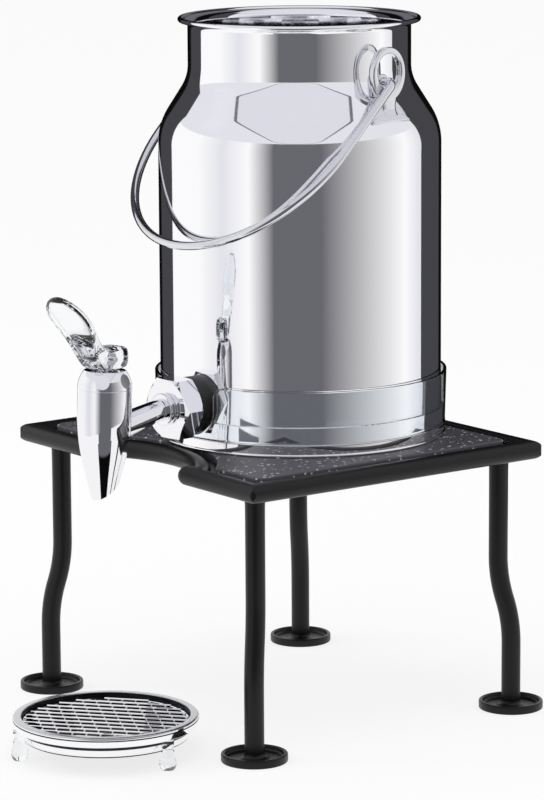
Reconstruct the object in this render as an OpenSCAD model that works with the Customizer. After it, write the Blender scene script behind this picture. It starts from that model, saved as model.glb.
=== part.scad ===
// Table-top milk dispenser: can with a lever tap in a cooled base, on a bar stand,
// with a separate drip tray. Millimetres, +Z up, the tap points to -Y.

/* [Stand] */
// Distance between the side bars' axes
rail_x = 239; // [225:1:290]
// Distance between the front and rear bars' axes
rail_y = 213; // [205:1:260]
// Height of the bars' axes above the table
rail_h = 166.1; // [140:0.1:220]
// Bar diameter of the stand
bar_d = 12; // [10:0.5:13]
// Rounding of the dressed tips of the bars' mitred corners, in plan
tip_round = 4.2; // [2:0.1:8]
// Distance of each front nose from the middle
nose_x = 46; // [40:1:52]
// Half the width of the front recess on the bar's axis
recess_half = 62; // [58:1:70]
// How far the recess bows to the rear
recess_depth = 28; // [22:1:32]
// Thickness of the deck sheet
plate_t = 1.5; // [1:0.1:3]
// Corner radius of the deck sheet
plate_corner = 1; // [0.5:0.1:4]
// Thickness of the mat
mat_t = 4.6; // [4.2:0.1:6]
// Strip of sheet left bare round the mat
mat_inset = 4; // [2:0.5:8]
// Corner radius of the mat
mat_corner = 7; // [4:0.5:14]
// Leg top's distance in from the side bar's axis
leg_in = 15.9; // [13:0.1:26]
// How far each leg kicks out at the foot
leg_kick = 8.4; // [4:0.1:14]
// Height where the kick starts
kick_low = 42; // [30:1:70]
// Height where the kick ends
kick_high = 98; // [90:1:125]
// Radius of the cup feet
cup_r = 20.2; // [14:0.1:26]
// Height of the cup feet
cup_h = 5.2; // [4:0.1:10]
// Floor thickness of the cup feet
cup_floor = 2; // [1:0.1:3]
// Rim thickness of the cup feet
cup_wall = 2.2; // [1.5:0.1:4]

/* [Can] */
// Can axis behind the stand's centre
can_back = 14.7; // [8:0.1:20]
// Can axis to the right of the stand's centre
can_side = 5.1; // [-8:0.1:8]
// Turn of the can on its stand, tap towards +X
can_turn = 5; // [0:0.5:10]
// Radius of the can's body
can_r = 88; // [84:0.5:96]
// Sheet thickness of the can
can_wall = 1; // [0.6:0.1:1.6]
// Height of the can's foot above the mat
can_base = 12; // [9:0.1:15]
// Edge radius of the can's foot
foot_round = 3; // [2:0.1:5]
// Height where the shoulder's slope leaves the body
shoulder_h = 194.2; // [170:0.1:215]
// Height of the shoulder's slope
shoulder_rise = 29.8; // [28:0.1:36]
// Radius of the neck
neck_r = 69.2; // [64:0.1:71]
// Height of the neck above the shoulder
neck_rise = 30.8; // [28:0.1:50]
// Blend radius between body and shoulder
shoulder_blend = 22; // [8:0.5:24]
// Blend radius between shoulder and neck
neck_blend = 11; // [5:0.5:14]
// Flare radius under the rim
flare_r = 4; // [3:0.1:5]
// Radius of the rolled bead of the rim
bead_r = 1.6; // [1.3:0.1:2.2]

/* [Cooling base] */
// Play between can and lip
can_play = 0.4; // [0.35:0.05:0.6]
// Thickness of the lip
lip_t = 0.8; // [0.6:0.1:1.2]
// Height of the lip's top above the mat
lip_h = 18.5; // [16:0.1:22]
// Height of the ledge that carries the collar
ledge_h = 8; // [5:0.1:8.5]
// Width of the ledge outside the lip
ledge_w = 1.6; // [1.5:0.1:4]
// Sheet thickness of the base
base_t = 1.2; // [0.8:0.1:2]
// How far the base's wall stands back between its ledge and its foot bead
waist = 0.8; // [0:0.1:1]

/* [Clear collar] */
// Height of the collar's top above the mat
collar_h = 40.6; // [36:0.1:60]
// Play between lip and collar
collar_play = 0.3; // [0.3:0.05:0.5]
// Wall of the collar at its foot
collar_t = 1.1; // [1:0.1:2]
// How far the collar flares out at the top
collar_flare = 0.9; // [0:0.1:3]
// Play between the gasket and the U notch
notch_play = 1; // [0.6:0.1:2]
// Rounding of the notch's top corners
notch_round = 6; // [2:0.5:9]

/* [Ears and bail] */
// Width of the shield plates
ear_w = 32; // [28:0.5:36]
// Thickness of the shield plates
ear_t = 2; // [1.5:0.1:2.5]
// Height of the shield plates' lower edge above the shoulder's start
ear_rise = 6.8; // [5:0.1:8]
// Width of the eyes
eye_w = 27; // [24:0.5:30]
// Strap width of the eyes
eye_strap = 4; // [3:0.1:5]
// Strap width under the eyes' holes
eye_foot = 8; // [6:0.1:9]
// Width of the tongue under the eyes
tongue_w = 11; // [8:0.5:14]
// Thickness of the eyes
eye_t = 5; // [4:0.1:6]
// Height of the eyes' top above the bail's axis
eye_up = 21; // [18:0.5:24]
// Height of the bail's axis above the shoulder's start
pivot_rise = 31.8; // [30:0.1:34]
// Wire diameter of the bail
wire_d = 5.4; // [4.5:0.1:6]
// Gap between the eyes and the bail's legs
eye_gap = 0.8; // [0.5:0.1:1.5]
// Play under the bail's pin in the eye
eye_play = 1.8; // [1:0.1:2.5]
// Gap between the bail's legs and the can's widest radius, on the axis
bail_in = 3; // [2:0.5:4]
// Length of the bail's straight legs
bail_leg = 56; // [50:1:90]
// Bend radius at the bail's pins
bail_bend = 5; // [4:0.5:6]
// Angle at which the bail leans from the vertical at rest
bail_lean = 46; // [46:1:80]
// Radius of the bail's end heads
head_r = 4.2; // [3.6:0.1:4.4]
// Thickness of the bail's end heads
head_t = 2; // [1.5:0.1:2.4]

/* [Tap mounting] */
// Height of the tap's thread above the mat
tap_h = 28; // [27:0.1:32]
// Radius of the threaded part
thread_r = 7; // [6:0.1:8]
// Radius of the milk way
way_r = 4; // [2.5:0.1:4.5]
// Radius of the gasket
gasket_r = 17.5; // [15:0.1:18]
// Thickness of the gasket at its middle
gasket_t = 9; // [8:0.1:12]
// Width across the nut's flats
nut_flats = 36; // [30:0.5:38]
// Thickness of the nut
nut_t = 14; // [8:0.5:16]
// How far the nut's round faces lie inside its flats
nut_inset = 0.2; // [0.1:0.1:1]
// Radius of the ring
ring_r = 10; // [9:0.1:13]
// Thickness of the ring
ring_t = 4; // [2:0.1:6]
// Radius of the washer inside the can
washer_r = 11.5; // [10:0.1:13]
// Thickness of the washer inside the can
washer_t = 3; // [2.5:0.1:4]
// Width across the lock nut's flats
lock_flats = 20; // [18:0.5:22]
// Thickness of the lock nut
lock_t = 6; // [4:0.5:9]
// Slope of the shank
shank_fall = 11; // [6:0.5:12]
// Radius of the shank at the ring
shank_r1 = 6.8; // [5.5:0.1:6.9]
// Radius of the shank at the tap body
shank_r2 = 8; // [6.5:0.1:8.5]

/* [Tap] */
// Distance of the tap's axis from the can's axis
tap_d = 159; // [152:0.5:170]
// Height of the joint between body and bonnet above the mat
joint_h = 47.1; // [46:0.1:50]
// Lean of the tap, spout forward
tap_lean = 2; // [0:0.5:4]
// Radius of the tap body
body_r = 16.5; // [16:0.1:18]
// Straight length of the tap body under the joint
body_straight = 16; // [12:0.5:18]
// Curve radius of the body's taper
taper_r = 120; // [110:1:150]
// Height of the curved part of the taper
taper_h = 31; // [28:0.5:33]
// Height of the straight part of the spout
spout_h = 21; // [16:0.5:24]
// Angle of the spout's cut
spout_cut = 38; // [20:1:40]
// Radius of the chamber
chamber_r = 10; // [9.5:0.1:11]
// Depth of the chamber under the joint
chamber_h = 33; // [31:0.5:34]
// Radius of the outlet
outlet_r = 5; // [3:0.1:5.2]
// Height of the bonnet
bonnet_h = 11; // [9:0.1:14]
// Top radius of the bonnet's dome
bonnet_top = 12.6; // [12.2:0.1:13.2]
// Distance of the bonnet's flats from the axis, at the top
bonnet_flat = 13.1; // [12.7:0.1:13.5]
// Angle of the bonnet's flats from the axis
flat_angle = 19; // [15:1:22]
// Turn of the bonnet's flats
flat_turn = 15; // [0:1:59]
// Radius of the stem
stem_r = 2.5; // [2:0.1:3]
// Running clearance of stem and pin
run_gap = 0.05; // [0.02:0.01:0.1]
// Radius of the seat cup
seat_r = 7.5; // [6.5:0.1:8]
// Height of the seat cup
seat_h = 8; // [6:0.5:9]

/* [Lever] */
// Height of the lever's pin above the bonnet
pin_up = 7; // [6.5:0.1:8]
// Radius of the lever's pin
pin_r = 1.5; // [1.2:0.1:1.8]
// Radius of the stem's eye
stem_eye_r = 4; // [3.5:0.1:4.2]
// Half the width of the hub
hub_half = 8.5; // [8:0.1:10]
// Length of the hub behind the pin
hub_back = 15; // [9:0.5:16]
// Offset of the lifting cam in front of the pin
cam_off = 8.7; // [8:0.1:10]
// Gap between cam and bonnet at rest
cam_gap = 0.3; // [0.3:0.05:0.5]
// Height of the hub above the pin
hub_top = 7.3; // [6:0.1:8]
// Thickness of the neck
neck_t = 12; // [7:0.1:13]
// Turn of the lever on the tap, paddle towards +X
lever_turn = 12; // [-20:1:20]
// Slope of the paddle
paddle_slope = 47; // [40:1:55]
// Distance of the paddle's middle from the cam's centre
paddle_out = 33; // [28:0.5:40]
// Half the length of the paddle
paddle_long = 23; // [18:0.5:26]
// Half the width of the paddle
paddle_half = 15; // [11:0.5:16]
// End radius of the paddle
paddle_end = 12; // [8:0.1:13]
// Thickness of the paddle
paddle_t = 5; // [4:0.1:6]
// Radius of the paddle's dish
dish_r = 90; // [80:1:140]
// Depth of the paddle's dish
dish_h = 2; // [0.8:0.1:2.4]

/* [Drip tray] */
// Tray centre to the right of the stand's centre
tray_x = 40.7; // [20:0.1:50]
// Tray centre in front of the stand's centre
tray_y = 160.9; // [156:0.1:190]
// Radius of the tray's rim
tray_r = 56.2; // [48:0.1:60]
// Height of the tray
tray_h = 24.5; // [22:0.1:32]
// Width of the rim's top
rim_w = 5; // [4:0.1:8]
// Height of the rim band
rim_band = 6; // [5:0.1:8]
// Sheet thickness of bowl and rim
tray_t = 1.2; // [1:0.1:1.6]
// Radius of the bowl's floor
bowl_r = 50; // [44:0.5:51]
// Height of the bowl's floor above the table
bowl_up = 10.5; // [6:0.1:12]
// Spacing of the grid's wires
grid_pitch = 8; // [6:0.5:12]
// Width of the grid's wires
grid_wire = 1.2; // [1:0.1:2]
// Turn of the grid
grid_turn = 40; // [0:1:90]
// Angle between the grid's two sets of wires
grid_skew = 66.5; // [60:0.5:90]
// Gap round the grid
grid_gap = 0.4; // [0.3:0.05:1]
// Radius of the tray's feet
pad_r = 5; // [4:0.1:5.2]
// How far the tray's feet stand out from the rim
pad_out = 2.2; // [0:0.1:2.5]

/* [Hidden] */
$fn = 96;
weld = 0.05;
bar_r = bar_d / 2;
xr = rail_x / 2;
yr = rail_y / 2;
leg_x = xr - leg_in;
leg_y = yr - bar_d - weld;
kick_e = leg_kick / sqrt(2);
foot_x = leg_x + kick_e;
foot_y = leg_y + kick_e;
shift_y = (tray_y + tray_r - foot_y - cup_r) / 2;
mat_top = rail_h + plate_t + mat_t;
kick_len = kick_high - kick_low;
kick_r = (kick_len * kick_len + leg_kick * leg_kick) / (4 * leg_kick);
kick_a = 2 * atan(leg_kick / kick_len);
recess_r = (recess_half * recess_half + recess_depth * recess_depth) / (2 * recess_depth);
recess_a = asin(recess_half / recess_r);
recess_y = -yr + recess_depth - recess_r;
slope_run = can_r - neck_r;
slope_len = sqrt(slope_run * slope_run + shoulder_rise * shoulder_rise);
slope_a = atan(slope_run / shoulder_rise);
sdx = -slope_run / slope_len;
sdz = shoulder_rise / slope_len;
neck_h = shoulder_h + shoulder_rise;
neck_top = neck_h + neck_rise;
bead_x = neck_r + flare_r + can_wall / 2;
bead_z = neck_top + flare_r + can_wall / 2;
lip_in = can_r + can_play;
lip_out = lip_in + lip_t;
base_r = lip_out + ledge_w;
pack_r = can_r - 0.5;
notch_r = gasket_r + notch_play;
pivot_h = shoulder_h + pivot_rise;
wire_r = wire_d / 2;
bail_half = can_r - bail_in;
eye_x1 = bail_half - wire_r - eye_gap;
eye_x0 = eye_x1 - eye_t;
head_x1 = eye_x0 - eye_gap;
head_x0 = head_x1 - head_t;
gasket_d = can_r + gasket_t;
nut_d = gasket_d + nut_t;
ring_d = nut_d + ring_t;
nut_corner = nut_flats / sqrt(3);
nut_edge = nut_corner + 0.5;
nut_face = nut_flats / 2 - nut_inset;
nut_bevel = (nut_edge - nut_face) * tan(30);
lock_d = can_r - can_wall - washer_t;
thread_in = lock_d - lock_t - 2;
shank_d = ring_d + 1;
taper_in = taper_r - sqrt(taper_r * taper_r - taper_h * taper_h);
taper_end = body_r - taper_in;
taper_k = taper_h / sqrt(taper_r * taper_r - taper_h * taper_h);
tip_r = taper_end - spout_h * taper_k;
body_h = body_straight + taper_h + spout_h;
bonnet_in = body_r - bonnet_top;
bonnet_arc = (bonnet_in * bonnet_in + bonnet_h * bonnet_h) / (2 * bonnet_in);
pin_z = bonnet_h + pin_up;
cam_r = pin_up - cam_gap;
stem_w = 5;
slot_half = stem_w / 2 + 0.3;
rim_z = tray_h - rim_band;
rim_in = tray_r - rim_w;
bowl_top = rim_in + tray_t;
rim_round = 2;
shelf_w = 2;
grid_r = rim_in - grid_gap;
steel = "#c9ccd0";
black = "#1d1d1f";
clear = "#dfe9ee80";

// The shared frame has its origin on the table under the middle of the whole set.
module at_stand() {
    translate([0, shift_y, 0]) children();
}

// Can frame: on the mat under the can's axis, tap to -Y.
module at_can() {
    translate([can_side, shift_y + can_back, mat_top]) rotate([0, 0, can_turn]) children();
}

// Tap frame inside the can frame: joint of body and bonnet, +Z up the leaning axis.
module to_tap() {
    translate([0, -tap_d, joint_h]) rotate([-tap_lean, 0, 0]) children();
}

module at_tray() {
    translate([tray_x, shift_y - tray_y, 0]) children();
}

// Turns +Z to the tap's side, starting at distance d from the can's axis.
module along_tap(d) {
    translate([0, -d, tap_h]) rotate([90, 0, 0]) children();
}

// Puts a drawing (forward, up) into the tap's plane of symmetry.
module in_plane(w) {
    rotate([90, 0, -90]) linear_extrude(w, center = true) children();
}

function arc(x, z, r, a0, a1, n) =
    [for (i = [0:n]) [x + r * cos(a0 + (a1 - a0) * i / n), z + r * sin(a0 + (a1 - a0) * i / n)]];

function back(p) = [for (i = [len(p) - 1:-1:0]) p[i]];

// Stand
module bar_x(x0, x1) {
    translate([x0, 0, 0]) rotate([0, 90, 0]) cylinder(h = x1 - x0, r = bar_r);
}

module nose_bar(l) {
    rotate_extrude() {
        square([bar_r, l]);
        translate([0, l]) intersection() {
            circle(bar_r);
            square(bar_r);
        }
    }
}

// Half space beyond a mitre at the origin, on the side of +X turned by t.
module past_mitre(t) {
    rotate([0, 0, t]) translate([0, -2 * bar_d, -bar_d]) cube([4 * bar_d, 4 * bar_d, 2 * bar_d]);
}

// Bar along X, mitred at both ends, its outer side towards +Y.
module mitre_bar(l) {
    difference() {
        bar_x(-l / 2 - bar_d, l / 2 + bar_d);
        for (s = [-1, 1])
            translate([s * l / 2, 0, 0]) past_mitre(s * 45 - 90);
    }
}

// Front bar from a mitred corner to its round nose.
module stub(s) {
    difference() {
        translate([s * (xr + bar_d), -yr, 0]) rotate([0, -s * 90, 0]) nose_bar(xr + bar_r - nose_x);
        translate([s * xr, -yr, 0]) past_mitre(90 - s * 45);
    }
}

module rim_rail() {
    color(black) at_stand() translate([0, 0, rail_h]) intersection() {
        union() {
            translate([0, yr, 0]) mitre_bar(rail_x);
            for (s = [-1, 1]) {
                translate([s * xr, 0, 0]) rotate([0, 0, -s * 90]) mitre_bar(rail_y);
                stub(s);
            }
        }
        linear_extrude(2 * bar_d, center = true)
            round_rect(rail_x + bar_d + 8 * weld, rail_y + bar_d + 8 * weld, tip_round);
    }
}

module recess_rail() {
    color(black) at_stand() translate([0, 0, rail_h]) difference() {
        translate([0, recess_y, 0]) rotate([0, 0, 90 - recess_a])
            rotate_extrude(angle = 2 * recess_a) translate([recess_r, 0]) circle(bar_r);
        for (s = [-1, 1])
            translate([s * recess_half, -yr, 0]) rotate([0, 90, 0])
                cylinder(h = 5 * bar_r, r = bar_r + 4 * weld, center = true);
    }
}

module round_rect(x, y, r) {
    square([x, y - 2 * r], center = true);
    square([x - 2 * r, y], center = true);
    for (i = [-1, 1], j = [-1, 1])
        translate([i * (x / 2 - r), j * (y / 2 - r)]) circle(r);
}

module deck_outline(inset, r) {
    difference() {
        round_rect(rail_x - 2 * inset, rail_y - 2 * inset, r);
        translate([0, recess_y]) circle(recess_r + inset);
    }
}

module deck_plate() {
    color(black) at_stand() translate([0, 0, rail_h]) linear_extrude(plate_t)
        deck_outline(bar_r + weld, plate_corner);
}

module deck_mat() {
    color("#303033") at_stand() translate([0, 0, rail_h + plate_t]) linear_extrude(mat_t)
        deck_outline(bar_r + mat_inset, mat_corner);
}

module leg(sx, sy) {
    color(black) at_stand() translate([sx * leg_x, sy * leg_y, 0]) rotate([0, 0, atan2(sy, sx)]) {
        translate([leg_kick, 0, cup_floor]) cylinder(h = kick_low - cup_floor, r = bar_r);
        translate([leg_kick - kick_r, 0, kick_low]) rotate([90, 0, 0])
            rotate_extrude(angle = kick_a) translate([kick_r, 0]) circle(bar_r);
        translate([kick_r, 0, kick_high]) rotate([90, 0, 0]) rotate([0, 0, 180])
            rotate_extrude(angle = kick_a) translate([kick_r, 0]) circle(bar_r);
        translate([leg_kick / 2, 0, (kick_low + kick_high) / 2]) sphere(bar_r + weld);
        translate([0, 0, kick_high]) cylinder(h = rail_h - kick_high, r = bar_r);
    }
}

module leg_front_left() { leg(-1, -1); }
module leg_front_right() { leg(1, -1); }
module leg_rear_left() { leg(-1, 1); }
module leg_rear_right() { leg(1, 1); }

module cup(sx, sy) {
    color(black) at_stand() translate([sx * foot_x, sy * foot_y, 0]) rotate_extrude() {
        square([cup_r - 0.8, cup_floor]);
        translate([cup_r - cup_wall, 0]) square([cup_wall - 0.8, cup_h]);
        translate([cup_r - cup_wall, 0.8]) square([cup_wall, cup_h - 1.6]);
        translate([cup_r - 0.8, 0.8]) circle(0.8);
        translate([cup_r - 0.8, cup_h - 0.8]) circle(0.8);
    }
}

module cup_front_left() { cup(-1, -1); }
module cup_front_right() { cup(1, -1); }
module cup_rear_left() { cup(-1, 1); }
module cup_rear_right() { cup(1, 1); }

// Cooling base
module u_notch(top) {
    rotate([90, 0, 0]) linear_extrude(can_r + 20) {
        translate([0, tap_h]) circle(notch_r);
        translate([-notch_r, tap_h]) square([2 * notch_r, top - tap_h + 1]);
    }
}

module base_shell() {
    color(steel) at_can() difference() {
        rotate_extrude() {
            square([base_r - 1, base_t]);
            translate([base_r - 1, 1]) circle(1);
            translate([base_r - base_t - waist, 0.5]) square([base_t, ledge_h - 1]);
            translate([base_r - 0.5, ledge_h - 0.5]) circle(0.5);
            translate([lip_in, ledge_h - base_t]) square([base_r - 0.5 - lip_in, base_t]);
            translate([lip_in, ledge_h - base_t]) square([lip_t, lip_h - lip_t / 2 - ledge_h + base_t]);
            translate([lip_in + lip_t / 2, lip_h - lip_t / 2]) circle(lip_t / 2);
        }
        u_notch(lip_h);
    }
}

module cooling_pack() {
    color("#d8dde2") at_can() translate([0, 0, base_t]) cylinder(h = can_base - base_t, r = pack_r);
}

module clear_collar() {
    color(clear) at_can() difference() {
        rotate_extrude() polygon([
            [lip_out + collar_play, ledge_h],
            [lip_out + collar_play + collar_t, ledge_h],
            [lip_out + collar_play + collar_t + collar_flare, collar_h],
            [lip_out + collar_play, collar_h]
        ]);
        rotate([90, 0, 0]) linear_extrude(can_r + 20) difference() {
            union() {
                translate([0, tap_h]) circle(notch_r);
                translate([-notch_r, tap_h]) square([2 * notch_r, collar_h - tap_h + 1]);
                translate([-notch_r - notch_round, collar_h - notch_round])
                    square([2 * (notch_r + notch_round), notch_round + 1]);
            }
            for (i = [-1, 1])
                translate([i * (notch_r + notch_round), collar_h - notch_round]) circle(notch_round);
        }
    }
}

// Can: the sheet's face, e inside the outer one, from the foot's seam to the rim
function can_path(e) =
    let (
        k = tan(slope_a / 2),
        sb = shoulder_blend - e,
        nb = neck_blend + e,
        fr = foot_round - e,
        ox = can_r - e,
        nx = neck_r - e,
        oz = shoulder_h - (e + sb) * k,
        nz = neck_h - e * k + nb * k
    ) concat(
        arc(ox - fr, can_base + foot_round, fr, -90, 0, 6),
        arc(ox - sb, oz, sb, 0, slope_a, 10),
        arc(nx + nb, nz, nb, 180 + slope_a, 180, 10),
        arc(neck_r + flare_r, neck_top, flare_r + e, 180, 90, 8)
    );

module can_shell() {
    color(steel) at_can() difference() {
        rotate_extrude() {
            polygon(concat(can_path(0), back(can_path(can_wall))));
            translate([bead_x, bead_z]) circle(bead_r);
        }
        along_tap(can_r - 20) cylinder(h = 40, r = thread_r + 0.1);
    }
}

// Pressed disc that closes the can, seamed inside the foot's rounded edge
module can_bottom() {
    color(steel) at_can() translate([0, 0, can_base]) cylinder(h = can_wall, r = can_r - foot_round - weld);
}

// Ears: a point on the shoulder's line at length s, off its face by o
function on_slope(s, o) = [can_r + s * sdx + o * sdz, shoulder_h + s * sdz - o * sdx];

module ear_plate(s) {
    z0 = shoulder_h + ear_rise;
    color(steel) at_can() rotate([0, 0, s > 0 ? 0 : 180]) intersection() {
        rotate_extrude() polygon([
            on_slope(-4, weld), on_slope(-4, weld + ear_t),
            on_slope(slope_len, weld + ear_t), on_slope(slope_len, weld)
        ]);
        translate([neck_r - 5, 0, z0]) rotate([90, 0, 90]) linear_extrude(can_r - neck_r + 20) intersection() {
            circle(ear_w / 2);
            translate([-ear_w, 0]) square([2 * ear_w, ear_w]);
        }
    }
}

module ear_plate_left() { ear_plate(-1); }
module ear_plate_right() { ear_plate(1); }

// Oval of four arcs, half as wide as w and half as long as l, with end radius e
module oval(w, l, e) {
    o = l - e;
    r = (o * o + w * w - e * e) / (2 * (w - e));
    intersection() {
        translate([r - w, 0]) circle(r);
        translate([w - r, 0]) circle(r);
        square([4 * w, 2 * r * o / (r - e)], center = true);
    }
    for (s = [-1, 1])
        translate([0, s * o]) circle(e);
}

module ear_eye(s) {
    top = pivot_h + eye_up;
    hole = pivot_h - wire_r - eye_play;
    low = hole - eye_foot;
    in_w = eye_w / 2 - eye_strap;
    color(steel) at_can() rotate([0, 0, s > 0 ? 0 : 180]) difference() {
        translate([eye_x0, 0, 0]) rotate([90, 0, 90]) linear_extrude(eye_t) difference() {
            union() {
                translate([0, (top + low) / 2]) oval(eye_w / 2, (top - low) / 2, eye_w / 2 - 2);
                translate([-tongue_w / 2, shoulder_h]) square([tongue_w, low + 2 - shoulder_h]);
            }
            translate([0, (top - eye_strap + hole) / 2]) oval(in_w, (top - eye_strap - hole) / 2, in_w - 0.7);
        }
        rotate_extrude() polygon([
            [0, shoulder_h - 8], on_slope(-10, 2 * weld + ear_t),
            on_slope(slope_len, 2 * weld + ear_t), [0, neck_h + 5]
        ]);
    }
}

module ear_eye_left() { ear_eye(-1); }
module ear_eye_right() { ear_eye(1); }

module bail() {
    color(steel) at_can() translate([0, 0, pivot_h]) rotate([-bail_lean, 0, 0]) {
        translate([0, 0, -bail_leg]) rotate([-90, 0, 0])
            rotate_extrude(angle = 180) translate([bail_half, 0]) circle(wire_r);
        for (s = [0, 180]) rotate([0, 0, s]) {
            translate([bail_half, 0, -bail_leg]) cylinder(h = bail_leg - bail_bend, r = wire_r);
            translate([bail_half - bail_bend, 0, -bail_bend]) rotate([90, 0, 0])
                rotate_extrude(angle = 90) translate([bail_bend, 0]) circle(wire_r);
            translate([head_x0, 0, 0]) rotate([0, 90, 0])
                cylinder(h = bail_half - bail_bend - head_x0, r = wire_r);
            translate([head_x0, 0, 0]) rotate([0, 90, 0]) cylinder(h = head_t, r = head_r);
        }
    }
}

// Tap mounting
module tap_gasket() {
    color(black) at_can() difference() {
        along_tap(can_r - 8) cylinder(h = gasket_t + 8, r = gasket_r);
        cylinder(h = 2 * tap_h, r = can_r + weld, $fn = 720);
        along_tap(can_r - 9) cylinder(h = gasket_t + 20, r = thread_r + weld);
    }
}

module hex_nut() {
    color(steel) at_can() along_tap(gasket_d) difference() {
        intersection() {
            cylinder(h = nut_t, r = nut_corner, $fn = 6);
            rotate_extrude() polygon([
                [0, 0], [nut_face, 0], [nut_edge, nut_bevel], [nut_edge, nut_t - nut_bevel],
                [nut_face, nut_t], [0, nut_t]
            ]);
        }
        translate([0, 0, -1]) cylinder(h = nut_t + 2, r = thread_r + weld);
    }
}

module shank_ring() {
    color(steel) at_can() along_tap(nut_d) rotate_extrude() {
        translate([thread_r + weld, 0]) square([ring_r - 1 - thread_r - weld, ring_t]);
        translate([thread_r + weld, 1]) square([ring_r - thread_r - weld, ring_t - 2]);
        translate([ring_r - 1, 1]) circle(1);
        translate([ring_r - 1, ring_t - 1]) circle(1);
    }
}

// Sloping part of the shank, from the ring to the tap's axis
module fall(r1, r2) {
    l = (tap_d - shank_d) / cos(shank_fall);
    translate([0, -shank_d, tap_h]) rotate([90 + shank_fall, 0, 0]) cylinder(h = l, r1 = r1, r2 = r2);
}

module tap_outer() {
    rotate_extrude() polygon(concat(
        [[0, 0], [body_r, 0]],
        arc(body_r - taper_r, -body_straight, taper_r, 0, -asin(taper_h / taper_r), 12),
        [[tip_r, -body_h], [0, -body_h]]
    ));
}

module tap_shank() {
    color(steel) at_can() difference() {
        union() {
            along_tap(thread_in) cylinder(h = shank_d + 0.5 - thread_in, r = thread_r);
            fall(shank_r1, shank_r2);
        }
        to_tap() tap_outer();
        along_tap(thread_in - 1) cylinder(h = shank_d + 1.5 - thread_in, r = way_r);
        fall(way_r, way_r);
    }
}

module inner_washer() {
    color(black) at_can() difference() {
        intersection() {
            along_tap(lock_d) cylinder(h = washer_t + 4, r = washer_r);
            cylinder(h = 2 * tap_h, r = can_r - can_wall - weld, $fn = 720);
        }
        along_tap(lock_d - 1) cylinder(h = washer_t + 6, r = thread_r + weld);
    }
}

module lock_nut() {
    color(steel) at_can() along_tap(lock_d - lock_t) difference() {
        rotate([0, 0, 30]) cylinder(h = lock_t, r = lock_flats / sqrt(3), $fn = 6);
        translate([0, 0, -1]) cylinder(h = lock_t + 2, r = thread_r + weld);
    }
}

// Tap
module tap_body() {
    color(steel) at_can() difference() {
        to_tap() difference() {
            tap_outer();
            translate([0, 0, -chamber_h]) cylinder(h = chamber_h + 1, r = chamber_r);
            translate([0, 0, -body_h - 1]) cylinder(h = body_h, r = outlet_r);
            translate([0, -tip_r, -body_h]) rotate([spout_cut, 0, 0])
                translate([-50, -50, -100]) cube([100, 200, 100]);
        }
        fall(way_r, way_r);
    }
}

module bonnet() {
    color(steel) at_can() to_tap() difference() {
        union() {
            rotate_extrude() intersection() {
                translate([body_r - bonnet_arc, 0]) circle(bonnet_arc);
                square([body_r, bonnet_h]);
            }
            translate([0, 0, -6]) cylinder(h = 6.5, r = chamber_r - weld);
        }
        for (i = [0:5])
            rotate([0, 0, 60 * i + flat_turn]) translate([bonnet_flat, 0, bonnet_h]) rotate([0, -flat_angle, 0])
                translate([0, -30, -40]) cube([30, 60, 60]);
        translate([0, 0, -10]) cylinder(h = bonnet_h + 20, r = stem_r + run_gap);
    }
}

module valve_stem() {
    color(steel) at_can() to_tap() rotate([0, 0, lever_turn]) difference() {
        union() {
            translate([0, 0, -chamber_h + 4]) cylinder(h = pin_z + chamber_h - 4, r = stem_r);
            translate([0, 0, pin_z]) rotate([0, 90, 0]) cylinder(h = stem_w, r = stem_eye_r, center = true);
        }
        translate([0, 0, pin_z]) rotate([0, 90, 0]) cylinder(h = 20, r = pin_r + run_gap, center = true);
    }
}

module seat_cup() {
    color("#e9e9e6") at_can() to_tap() translate([0, 0, -chamber_h]) difference() {
        rotate_extrude() polygon([
            [0, 0], [seat_r - 0.8, 0], [seat_r, 0.8], [seat_r, seat_h - 2.5], [stem_r + 1.5, seat_h], [0, seat_h]
        ]);
        translate([0, 0, 4]) cylinder(h = seat_h, r = stem_r);
    }
}

module lever_pin() {
    color(steel) at_can() to_tap() rotate([0, 0, lever_turn]) translate([0, 0, pin_z]) rotate([0, 90, 0])
        cylinder(h = 2 * hub_half, r = pin_r, center = true);
}

module hub_outline() {
    translate([-hub_back, -cam_r + 3]) square([hub_back + cam_off, cam_r + hub_top - 6]);
    translate([-hub_back + 3, -cam_r]) square([hub_back + cam_off - 3, cam_r + hub_top]);
    translate([-hub_back + 3, -cam_r + 3]) circle(3);
    translate([-hub_back + 3, hub_top - 3]) circle(3);
    translate([cam_off, 0]) circle(cam_r);
}

module paddle() {
    translate([0, -cam_off - paddle_out * cos(paddle_slope), paddle_out * sin(paddle_slope)])
        rotate([180 - paddle_slope, 0, 0]) difference() {
            linear_extrude(paddle_t, center = true) oval(paddle_half, paddle_long, paddle_end);
            translate([0, 0, -paddle_t / 2 + dish_h - dish_r]) sphere(dish_r);
        }
}

module tap_lever() {
    color(clear) at_can() to_tap() rotate([0, 0, lever_turn]) translate([0, 0, pin_z]) difference() {
        union() {
            in_plane(2 * hub_half) hub_outline();
            in_plane(2 * hub_half) translate([cam_off, 0]) rotate(paddle_slope)
                translate([0, -neck_t / 2]) square([paddle_out - paddle_long + 6, neck_t]);
            paddle();
        }
        rotate([0, 90, 0]) cylinder(h = 2 * slot_half, r = stem_eye_r + 0.4, center = true);
        in_plane(2 * slot_half) polygon([
            [-stem_r - 0.4, 0], [stem_r + 0.4, 0],
            [cam_off + 1, -cam_r - 1], [-stem_r - 0.4, -cam_r - 1]
        ]);
        rotate([0, 90, 0]) cylinder(h = 4 * hub_half, r = pin_r, center = true);
    }
}

// Drip tray
module bowl_outer(e) {
    rotate_extrude() polygon([
        [0, bowl_up - e], [bowl_r + e, bowl_up - e], [bowl_top + e, rim_z],
        [bowl_top + e, tray_h - tray_t], [0, tray_h - tray_t]
    ]);
}

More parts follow.
